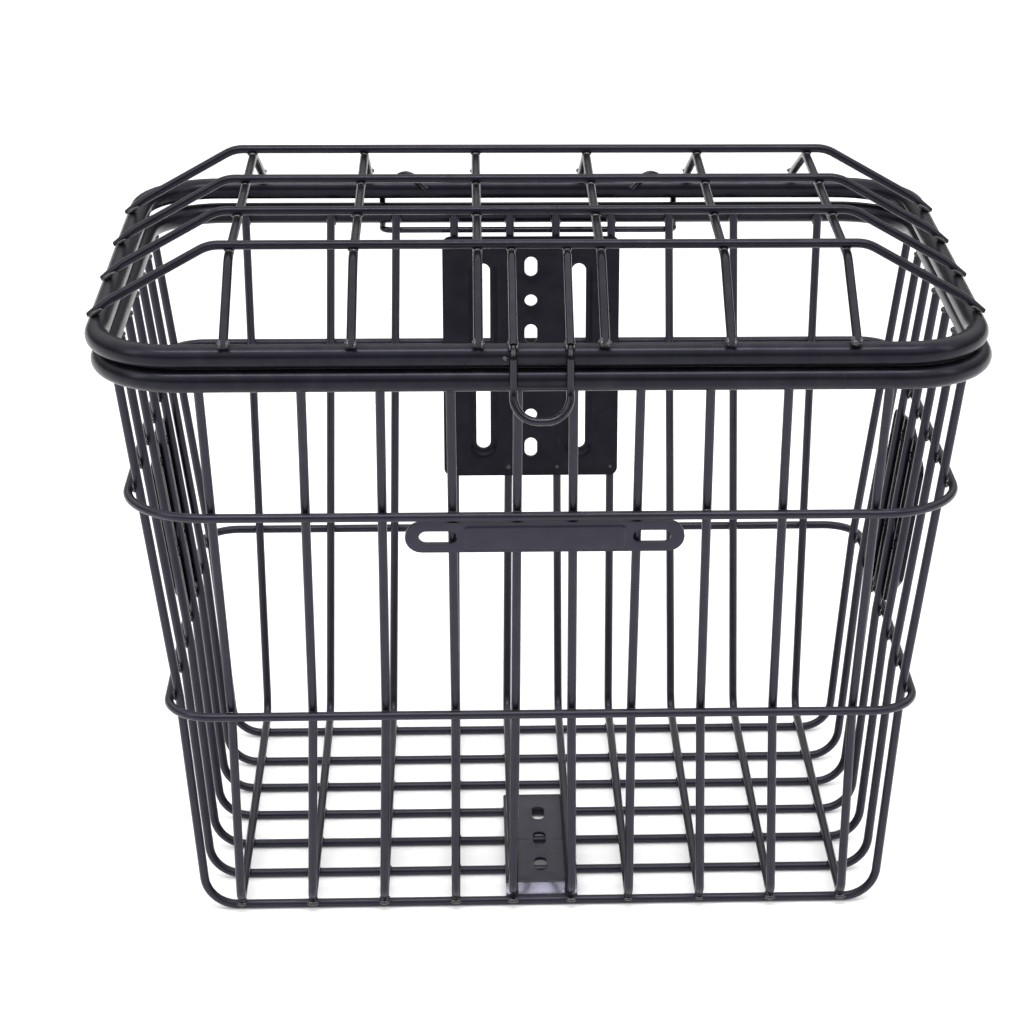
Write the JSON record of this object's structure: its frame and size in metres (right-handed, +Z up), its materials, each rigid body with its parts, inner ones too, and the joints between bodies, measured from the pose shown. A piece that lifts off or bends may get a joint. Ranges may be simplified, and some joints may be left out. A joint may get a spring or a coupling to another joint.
{
  "type": "bicycle basket",
  "caption": "Open wire bicycle basket with a thick tubular rim and a hinged, domed wire lid held shut by a wire latch loop; slotted plates for mounting.",
  "frame": {"origin": "underside of the floor wires, below the middle of the rims", "axes": "+X to the right seen from the front, -Y is the front with the latch, +Y is the back with the mounting plate and the hinge, +Z up"},
  "size_m": [0.3826, 0.2767, 0.3199],
  "materials": {
    "tube_coat": "black semi-gloss powder coat on the rim tubes",
    "wire_coat": "black semi-gloss powder coat on the wires, thicker at the welds",
    "plate_coat": "black satin powder coat on pressed steel plates",
    "latch_coat": "black gloss powder coat on the hinge and latch wires"
  },
  "bodies": {
    "basket": {"basket_rim": "tube_coat", "cross_wire_1": "wire_coat", "cross_wire_2": "wire_coat", "cross_wire_3": "wire_coat", "cross_wire_4": "wire_coat", "cross_wire_5": "wire_coat", "cross_wire_6": "wire_coat", "cross_wire_7": "wire_coat", "floor_plate": "plate_coat", "front_plate": "plate_coat", "hinge_wire": "latch_coat", "long_wire_1": "wire_coat", "long_wire_10": "wire_coat", "long_wire_2": "wire_coat", "long_wire_3": "wire_coat", "long_wire_4": "wire_coat", "long_wire_5": "wire_coat", "long_wire_6": "wire_coat", "long_wire_7": "wire_coat", "long_wire_8": "wire_coat", "long_wire_9": "wire_coat", "lower_ring": "wire_coat", "rear_mount_plate": "plate_coat", "side_plate_left": "plate_coat", "side_plate_right": "plate_coat", "upper_ring": "wire_coat"},
    "lid": {"lid_cross_wire_1": "wire_coat", "lid_cross_wire_2": "wire_coat", "lid_cross_wire_3": "wire_coat", "lid_cross_wire_4": "wire_coat", "lid_long_wire_1": "wire_coat", "lid_long_wire_2": "wire_coat", "lid_long_wire_3": "wire_coat", "lid_long_wire_4": "wire_coat", "lid_long_wire_5": "wire_coat", "lid_long_wire_6": "wire_coat", "lid_rim": "tube_coat", "latch_leg_left": "latch_coat", "latch_leg_right": "latch_coat"},
    "latch": {"latch_loop": "latch_coat"}
  },
  "joints": [
    {"name": "lid_hinge", "type": "hinge", "parent": "basket", "child": "lid", "pos_m": [-0.002, 0.1275, 0.2837], "axis": [-1, 0, 0], "range_deg": [0, 130]},
    {"name": "latch_flex", "type": "hinge", "parent": "lid", "child": "latch", "pos_m": [-0.002, -0.13484, 0.28164], "axis": [-1, 0, 0], "range_deg": [0, 12], "stiffness_Nm_per_rad": 0.5}
  ]
}
